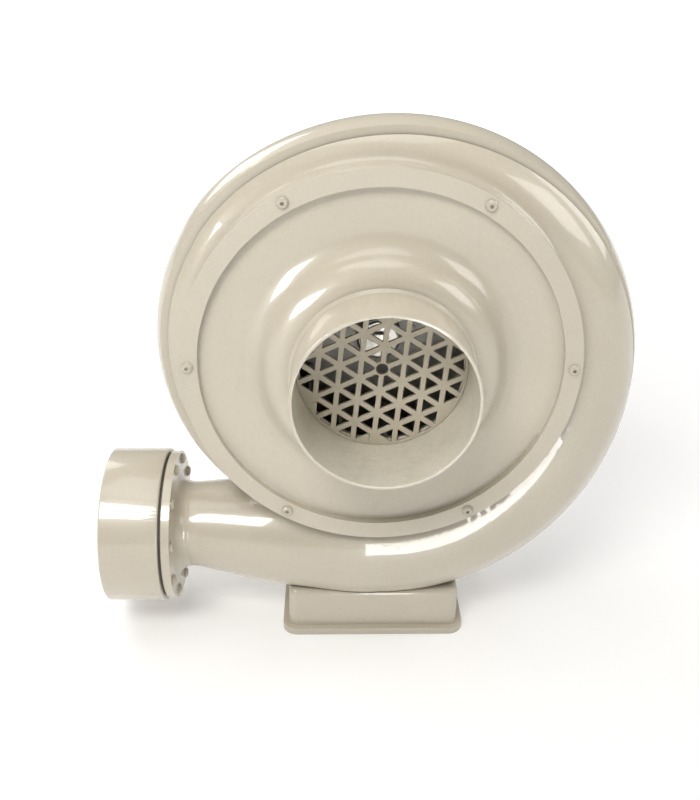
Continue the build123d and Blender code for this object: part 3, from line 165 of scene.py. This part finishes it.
# Corners found by ambient occlusion: materials that darken with this mask get painted shade there.
occlusion = dust_and_shade.nodes.new("ShaderNodeAmbientOcclusion")
occlusion.samples = 4
dust_and_shade.links.new(start.outputs["Reach"], occlusion.inputs["Distance"])
corner = spread(dust_and_shade, occlusion.outputs["AO"], 0.95, 0.35)
specks = spread(dust_and_shade, noise(dust_and_shade, place, start.outputs["Spots"], detail=2, roughness=0.6), 0.35, 0.6)
uneven = math_node(dust_and_shade, "MULTIPLY_ADD", specks, 0.5, 0.5)
dust_and_shade.links.new(math_node(dust_and_shade, "MULTIPLY", corner, uneven, clamp=True), end.inputs["Mask"])
print(dust_and_shade.name, "nodes:", len(dust_and_shade.nodes))

# %% [markdown]
# ## Turned lines
# The shaft, the bearings and the motor's plates are turned or stacked along the shaft, which leaves fine
# lines square to it. Bands along Y follow them exactly, where a noise would only look scratched.

# %% Turned lines group
lathe, start, end, place = effect_group("Turned lines", {"Lines": 900.0}, ["Height"])
bands = lathe.nodes.new("ShaderNodeTexWave")
bands.wave_type = "BANDS"
bands.bands_direction = "Y"
bands.inputs["Distortion"].default_value = 1.5
bands.inputs["Detail"].default_value = 2.0
lathe.links.new(place.outputs["Object"], bands.inputs["Vector"])
lathe.links.new(start.outputs["Lines"], bands.inputs["Scale"])
lathe.links.new(bands.outputs["Fac"], end.inputs["Height"])
print(lathe.name, "nodes:", len(lathe.nodes))

# %% [markdown]
# ## Fine scratches
# Bare metal carries hairline scratches that run roughly one way. A noise squeezed hard across one
# direction turns its blobs into short lines.

# %% Fine scratches group
scratches, start, end, place = effect_group("Fine scratches", {"Length": 60.0}, ["Mask"])
squeeze = scratches.nodes.new("ShaderNodeMapping")
squeeze.inputs["Scale"].default_value = (1.0, 14.0, 9.0)
squeeze.inputs["Rotation"].default_value = (0.3, 0.5, 0.7)
scratches.links.new(place.outputs["Object"], squeeze.inputs["Vector"])
hairlines = scratches.nodes.new("ShaderNodeTexNoise")
scratches.links.new(squeeze.outputs["Vector"], hairlines.inputs["Vector"])
scratches.links.new(start.outputs["Length"], hairlines.inputs["Scale"])
scratches.links.new(spread(scratches, hairlines.outputs["Fac"], 0.62, 0.68), end.inputs["Mask"])
print(scratches.name, "nodes:", len(scratches.nodes))

# %% [markdown]
# ## Building a finish
# A finish starts as a Principled shader with plain values on its own sockets, so the export keeps them. The
# class below then layers effects on it: a tint over the colour, a change of roughness, or a bump. It
# remembers the last socket of each chain, so that the next layer goes on top of it.

# %% Finish class


class Finish:
    """A material under construction, with its colour, roughness and normal kept as they are built up."""

    def __init__(self, name, colour, roughness, metallic=0.0, coat=0.0):
        self.material = bpy.data.materials.new(name)
        self.material.use_nodes = True
        self.material.diffuse_color = (*colour, 1)
        self.tree = self.material.node_tree
        self.shader = self.tree.nodes["Principled BSDF"]
        self.shader.inputs["Base Color"].default_value = (*colour, 1)
        self.shader.inputs["Roughness"].default_value = roughness
        self.shader.inputs["Metallic"].default_value = metallic
        self.shader.inputs["Coat Weight"].default_value = coat
        self.shader.inputs["Coat Roughness"].default_value = 0.05
        self.colour, self.roughness, self.normal = (*colour, 1), roughness, None

    def effect(self, group, **values):
        """Places an effect group with its own values, and gives its outputs."""
        node = self.tree.nodes.new("ShaderNodeGroup")
        node.node_tree = group
        for label, value in values.items():
            node.inputs[label].default_value = value
        return node.outputs

    def tint(self, mask, colour, strength):
        """Mixes colour over the base colour where mask is white."""
        mix = self.tree.nodes.new("ShaderNodeMix")
        mix.data_type = "RGBA"
        amount = math_node(self.tree, "MULTIPLY", mask, strength, clamp=True)
        self.tree.links.new(amount, mix.inputs["Factor"])
        if isinstance(self.colour, tuple):
            mix.inputs["A"].default_value = self.colour
        else:
            self.tree.links.new(self.colour, mix.inputs["A"])
        mix.inputs["B"].default_value = (*colour, 1)
        self.colour = mix.outputs["Result"]
        self.tree.links.new(self.colour, self.shader.inputs["Base Color"])

    def roughen(self, mask, amount):
        """Adds amount to the roughness where mask is white."""
        change = math_node(self.tree, "MULTIPLY", mask, amount)
        self.roughness = math_node(self.tree, "ADD", change, self.roughness, clamp=True)
        self.tree.links.new(self.roughness, self.shader.inputs["Roughness"])

    def bump(self, height, depth, strength):
        """Tilts the shading by a height pattern, on top of the bump that is there."""
        node = self.tree.nodes.new("ShaderNodeBump")
        node.inputs["Strength"].default_value = strength
        node.inputs["Distance"].default_value = depth
        self.tree.links.new(height, node.inputs["Height"])
        if self.normal is not None:
            self.tree.links.new(self.normal, node.inputs["Normal"])
        self.normal = node.outputs["Normal"]
        self.tree.links.new(self.normal, self.shader.inputs["Normal"])


def shade(colour, factor):
    """A colour made lighter or darker, and kept under white."""
    return tuple(min(channel * factor, 1) for channel in colour)


# %% [markdown]
# ## Enamel
# The blower is sprayed all over in one warm beige enamel. Its gloss has two parts: a slightly rough base and
# a clear, smooth skin, which the shader's coat gives. The cast skin's waves bend the reflections a little,
# marks dull them, and dust with painted shade darkens the corners.

# %% Enamel finish
BEIGE = (0.60, 0.545, 0.44)
# Dust colour, darker than the beige: in the enamel's corners it paints shade as well as dust.
DUST_AND_SHADE = (0.33, 0.30, 0.25)


def enamel(name, colour, waves, roughness=0.34, coat=0.8):
    """Enamel over metal, with waves of the given scale, faint marks, and dust with painted shade in the
    corners.
    """
    paint = Finish(name, colour, roughness, coat=coat)
    skin = paint.effect(cast_skin, Grain=380.0, Waves=waves)
    settled_and_shade = paint.effect(dust_and_shade)
    paint.tint(skin["Mask"], shade(colour, 0.86), strength=0.35)
    paint.tint(paint.effect(marks)["Mask"], shade(colour, 0.8), strength=0.3)
    paint.roughen(paint.effect(marks, Patches=22.0)["Mask"], 0.12)
    # Painted shade with some dust: the corners darken towards the dark brown.
    paint.tint(settled_and_shade["Mask"], DUST_AND_SHADE, strength=0.55)
    paint.roughen(settled_and_shade["Mask"], 0.35)
    paint.bump(skin["Height"], depth=0.3 * MM, strength=0.35)
    return paint.material


materials = {
    "beige_paint": enamel("beige_paint", BEIGE, waves=26.0),
    "beige_paint_sheet": enamel("beige_paint_sheet", BEIGE, waves=9.0),
    "painted_screws": enamel("painted_screws", shade(BEIGE, 0.92), waves=60.0),
}
grille_paint = enamel("grille_paint", shade(BEIGE, 0.95), waves=30.0, roughness=0.62, coat=0.0)
print("Enamels:", ", ".join(materials), "and", grille_paint.name)

# %% [markdown]
# ## Bare metal
# The impeller, the shaft, the bearings and the screws are bare. They share one recipe, fully metallic with
# scratches, dull patches, and grime with painted shade darkening the corners. Turned pieces add lines,
# spaced to suit the piece.

# %% Metal finishes


def bare_metal(name, colour, roughness, lines=None):
    """Uncoated metal with fine scratches, and turned lines where lines gives their scale."""
    metal = Finish(name, colour, roughness, metallic=1.0)
    scratch = metal.effect(scratches)["Mask"]
    metal.tint(scratch, shade(colour, 1.25), strength=0.5)
    metal.roughen(metal.effect(marks, Patches=60.0)["Mask"], 0.18)
    # Painted shade with some grime: the corners darken to a third of the metal's colour.
    metal.tint(metal.effect(dust_and_shade, Reach=4 * MM)["Mask"], shade(colour, 0.35), strength=0.6)
    if lines:
        metal.bump(metal.effect(lathe, Lines=lines)["Height"], depth=0.04 * MM, strength=0.6)
    metal.bump(scratch, depth=0.03 * MM, strength=0.5)
    return metal.material


materials |= {
    "zinc_steel": bare_metal("zinc_steel", (0.58, 0.57, 0.53), 0.32),
    "bearing_steel": bare_metal("bearing_steel", (0.70, 0.70, 0.69), 0.15, lines=2200.0),
    "machined_steel": bare_metal("machined_steel", (0.46, 0.46, 0.45), 0.3, lines=1400.0),
    "bare_aluminium": bare_metal("bare_aluminium", (0.50, 0.49, 0.46), 0.5, lines=700.0),
    "lamination": bare_metal("lamination", (0.14, 0.14, 0.15), 0.5, lines=2000.0),
    "copper": bare_metal("copper", (0.60, 0.25, 0.10), 0.35, lines=500.0),
    "brass": bare_metal("brass", (0.70, 0.52, 0.22), 0.3),
    "capacitor_can": bare_metal("capacitor_can", (0.66, 0.66, 0.65), 0.3),
}
print("Materials so far:", len(materials))

# %% [markdown]
# ## Rubber and plastic
# The gaskets, the seal, the cooling fan and the cable gland are moulded. They have a fine even grain, and
# they shine a little where they have been touched, so the marks lower the roughness here.

# %% Moulded finishes


def moulded(name, colour, roughness, grain=700.0):
    """Rubber or plastic with a fine grain, some shine where it's been touched, and dust."""
    resin = Finish(name, colour, roughness)
    skin = resin.effect(cast_skin, Grain=grain, Waves=40.0)
    resin.tint(skin["Mask"], shade(colour, 1.6), strength=0.5)
    resin.roughen(resin.effect(marks, Patches=45.0)["Mask"], -0.15)
    resin.tint(resin.effect(dust_and_shade, Reach=6 * MM)["Mask"], DUST_AND_SHADE, strength=0.35)
    resin.bump(skin["Height"], depth=0.1 * MM, strength=0.5)
    return resin.material


materials |= {
    "gasket": moulded("gasket", (0.035, 0.033, 0.028), 0.75, grain=1200.0),
    "seal_rubber": moulded("seal_rubber", (0.02, 0.02, 0.02), 0.6),
    "fan_plastic": moulded("fan_plastic", (0.028, 0.028, 0.03), 0.42, grain=500.0),
    "gland_plastic": moulded("gland_plastic", (0.03, 0.03, 0.03), 0.5),
}
print("Materials so far:", len(materials))

# %% [markdown]
# ## Raw casting
# The spray gun doesn't reach inside the inlet collar, so the pale, blotchy skin of the casting shows there.
# It has the enamel's grain without its coat, a deeper bump, and broad darker stains.

# %% Raw casting finish
casting = Finish("raw_casting", (0.66, 0.63, 0.54), 0.55)
sand = casting.effect(cast_skin, Grain=300.0, Waves=60.0)
casting.tint(sand["Mask"], (0.76, 0.71, 0.60), strength=0.8)
casting.roughen(casting.effect(marks, Patches=35.0)["Mask"], 0.15)
casting.tint(casting.effect(marks, Patches=30.0)["Mask"], (0.48, 0.46, 0.39), strength=0.7)
casting.bump(sand["Height"], depth=0.8 * MM, strength=0.6)
print("Made", casting.material.name)

# %% [markdown]
# ## Give each CAD piece its material
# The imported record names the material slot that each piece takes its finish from. Looking the slots up
# there keeps this file free of a second list that could disagree with it.

# %% Dress the CAD nodes
slot_of = {entry["node"]: entry["material_slot"] for entry in frame["record"]["subparts"]}
for name, piece in nodes.items():
    piece.data.materials.clear()
    piece.data.materials.append(materials[slot_of[name]])
print("Slots in use:", len(set(slot_of.values())))

# %% [markdown]
# ## Soft edges on the housing
# Castings and pressings have no knife edges, and it is the thin bright line along a rounded edge that makes
# them look real. The edges could be rounded in CAD, but that would slow every other step. Here each housing
# piece is copied, the copy's loose triangles are welded, flat areas are joined, and a Bevel modifier rounds
# what is still sharp. Its hardened normals keep the flat faces beside an edge looking flat. The grille's
# bars are too narrow for joined faces, so it keeps its triangles.

# %% Helpers for the soft edges


def alone(piece):
    """Selects one object and makes it active."""
    bpy.ops.object.select_all(action="DESELECT")
    piece.select_set(True)
    bpy.context.view_layer.objects.active = piece


def welded_copy(node, name, join_flats):
    """A copy of a CAD piece that can be edited, welded and, if wanted, with its flat areas joined."""
    same_point = 0.01 * MM
    flat = math.radians(0.5)
    alone(nodes[node])
    bpy.ops.object.duplicate()
    copy = bpy.context.active_object
    copy.name = name
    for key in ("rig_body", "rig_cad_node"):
        if key in copy:
            del copy[key]
    bpy.ops.object.mode_set(mode="EDIT")
    bpy.ops.mesh.select_all(action="SELECT")
    bpy.ops.mesh.remove_doubles(threshold=same_point)
    if join_flats:
        bpy.ops.mesh.dissolve_limited(angle_limit=flat)
    bpy.ops.mesh.normals_make_consistent(inside=False)
    bpy.ops.object.mode_set(mode="OBJECT")
    return copy


def soften(piece, width, segments):
    """Rounds the sharp edges by width, and keeps the faces beside them looking flat."""
    sharp = math.radians(34)
    alone(piece)
    bpy.ops.object.shade_smooth_by_angle(angle=sharp)
    bevel = piece.modifiers.new("Soft edges", "BEVEL")
    bevel.limit_method = "ANGLE"
    bevel.angle_limit = sharp
    bevel.width = width
    bevel.segments = segments
    bevel.harden_normals = True
    bevel.miter_outer = "MITER_ARC"
    bpy.ops.object.modifier_apply(modifier=bevel.name)


# %% Round the housing's edges
edge_rounding = {               # node: (width of the rounding, number of steps in it)
    "volute_body": (1.2 * MM, 2),
    "inlet_cover": (0.9 * MM, 2),
    "inlet_collar": (0.8 * MM, 3),
    "inlet_grille": (0.9 * MM, 2),
    "outlet_collar": (0.6 * MM, 2),
    "foot": (1.4 * MM, 3),
    "back_plate": (1.0 * MM, 2),
    "motor_front_shield": (0.8 * MM, 2),
    "motor_barrel": (0.4 * MM, 1),
    "motor_rear_shield": (0.8 * MM, 2),
    "fan_cowl": (0.3 * MM, 1),
    "terminal_box": (0.8 * MM, 2),
    "terminal_box_lid": (0.6 * MM, 2),
}
dressed = {}
for node, (width, segments) in edge_rounding.items():
    piece = welded_copy(node, node + "_cast", join_flats=node != "inlet_grille")
    soften(piece, width, segments)
    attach(piece, "casing")
    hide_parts(node)
    dressed[node] = piece
    print(f"{piece.name}: {len(piece.data.polygons)} faces")

# %% [markdown]
# ## Bare casting inside the inlet
# The paint stops at the rim of the inlet collar. No new piece is needed for that: the collar gets a second
# material, and the faces of its bore, which look at the shaft, are found by their place and normal.

# %% Bare the collar's bore
collar = dressed["inlet_collar"]
collar.data.materials.append(casting.material)
bore_limit = 73.5 * MM          # the bore is inside this radius and the outer wall beyond it
looks_in = -0.5                 # a normal that points at the shaft gives less than this
bared = 0
for face in collar.data.polygons:
    out = face.center - shaft_middle
    out.y = 0
    if out.length < bore_limit and face.normal.dot(out.normalized()) < looks_in:
        face.material_index = 1
        bared += 1
print("Faces of the collar left bare:", bared)

# %% [markdown]
# ## Matt paint on the grille
# The grille is a punched plate with a thin matt coat. Given the castings' glossy enamel, its bars would
# mirror the lights and hide the pattern, so it has its own paint.

# %% Paint the grille
grille = dressed["inlet_grille"]
grille.data.materials.clear()
grille.data.materials.append(grille_paint)
print(grille.name, "has", grille.active_material.name)

# %% [markdown]
# ## Table
# The blower stands on a large white table. Near the blower the table is lit by the lamps, so the soft
# shadow shows. Far away the lamps no longer reach, so there the white is held up by a little emission that
# grows with the distance, and the table's edge never shows as a grey band.

# %% Table
bpy.ops.object.select_all(action="DESELECT")
table_size = 60                                # metres, so that its edge is out of sight
bpy.ops.mesh.primitive_plane_add(size=table_size)
floor = bpy.context.active_object
floor.name = "table"
table = Finish("table_white", (0.90, 0.90, 0.89), 0.55)
table.tint(table.effect(marks, Patches=3.0)["Mask"], (0.86, 0.86, 0.855), strength=0.5)
distance = table.tree.nodes.new("ShaderNodeVectorMath")
distance.operation = "LENGTH"
middle = table.tree.nodes.new("ShaderNodeTexCoord")
table.tree.links.new(middle.outputs["Object"], distance.inputs[0])
glow = table.tree.nodes.new("ShaderNodeMix")
glow.data_type = "RGBA"
glow.inputs["A"].default_value = (0.20, 0.20, 0.215, 1)
glow.inputs["B"].default_value = (0.85, 0.85, 0.84, 1)
glow_start, glow_end = 0.5, 2.3                # metres from the blower
fade = spread(table.tree, distance.outputs["Value"], glow_start, glow_end)
table.tree.links.new(fade, glow.inputs["Factor"])
table.tree.links.new(glow.outputs["Result"], table.shader.inputs["Emission Color"])
table.shader.inputs["Emission Strength"].default_value = 1.0
floor.data.materials.append(table.material)
print("Table:", table_size, "metres square")

# %% [markdown]
# ## Studio walls
# The world plays the part of the room: dim pale walls, a little brighter overhead, behind the blower and
# to its left. Dim walls keep the shaded sides of the castings darker than the lit ones. Looked at straight,
# the room is plain white, so that the background stays clean from every side.

# %% World
world = bpy.data.worlds.new("studio")
bpy.context.scene.world = world
world.use_nodes = True
room = world.node_tree
direction = room.nodes.new("ShaderNodeTexCoord")
split = room.nodes.new("ShaderNodeSeparateXYZ")
room.links.new(direction.outputs["Generated"], split.inputs["Vector"])
walls = 0.22                                   # brightness at eye level, before the three slopes
for axis, slope in (("Z", 0.12), ("Y", 0.10), ("X", -0.05)):
    walls = math_node(room, "MULTIPLY_ADD", split.outputs[axis], slope, walls)
seen_straight = room.nodes.new("ShaderNodeLightPath").outputs["Is Camera Ray"]
background = room.nodes["Background"]
background.inputs["Color"].default_value = (1.0, 0.985, 0.95, 1)
room.links.new(math_node(room, "MAXIMUM", walls, seen_straight), background.inputs["Strength"])
print("World:", world.name)

# %% [markdown]
# ## Lights
# One large softbox at the upper left models the form, with weaker ones at the right, behind and overhead.
# The clear-edged highlights of the enamel come from three bright cards, two of them close to the blower. A
# near card shows as a short highlight on the collar, the neck or the bell, where a far lamp would draw a
# streak all along them. The cards are only mirrored and light nothing, so they leave the shading alone. The
# key does the opposite: it lights the blower and isn't mirrored.

# %% Softboxes and cards


def softbox(name, turn, rise, size, brightness, distance=1.7, aim=shaft_middle):
    """A lamp seen from aim at turn degrees from the front, to the right, and rise degrees up."""
    turn, rise = math.radians(turn), math.radians(rise)
    out = Vector((math.sin(turn) * math.cos(rise), -math.cos(turn) * math.cos(rise), math.sin(rise)))
    light = bpy.data.lights.new(name, "AREA")
    light.shape = "RECTANGLE"
    light.size, light.size_y = size
    light.energy = brightness * math.pi * size[0] * size[1]
    light.color = (1, 0.985, 0.96)
    lamp = bpy.data.objects.new(name, light)
    bpy.context.scene.collection.objects.link(lamp)
    lamp.location = aim + out * distance
    lamp.rotation_euler = out.to_track_quat("Z", "Y").to_euler()
    lamp.visible_camera = False
    print(f"{name}: {light.energy:.1f} W")
    return lamp


neck_front = Vector((-190 * MM, -75 * MM, 133 * MM))    # on the front of the outlet neck
tube_front = Vector((78 * MM, -86 * MM, 124 * MM))      # on the front of the tube, at the lower right

key = softbox("key", -24, 46, (0.70, 0.50), 14)
key.visible_glossy = False
softbox("right", 100, 28, (0.5, 1.0), 3.5)
softbox("back_left", -135, 34, (0.8, 0.8), 4)
softbox("top", -30, 80, (1.4, 1.0), 2.0)
for card in (
    softbox("left_card", -22, 47, (0.22, 0.15), 18, distance=0.41, aim=neck_front),
    softbox("low_card", -3, -2, (0.09, 0.19), 14, distance=0.46, aim=tube_front),
    softbox("right_card", 58, 28, (0.90, 0.70), 4),
):
    card.visible_diffuse = False

# %% [markdown]
# ## Camera
# The camera stands in front of the inlet and looks down at it. A small shift frames the blower off centre
# without turning the view, which would change its perspective. The plain Standard view transform keeps
# the white of the table white.

# %% Camera
lens = bpy.data.cameras.new("camera")
lens.lens = 42.27
lens.sensor_width = 36
lens.shift_x = -0.025
lens.shift_y = -0.03625
camera = bpy.data.objects.new("camera", lens)
bpy.context.scene.collection.objects.link(camera)
camera.location = (-0.0432, -0.7962, 0.6163)
camera.rotation_euler = (1.13267, -0.02355, -0.03597)
bpy.context.scene.camera = camera
bpy.context.scene.view_settings.view_transform = "Standard"
print("Camera to shaft:", round((camera.location - shaft_middle).length, 3), "m")
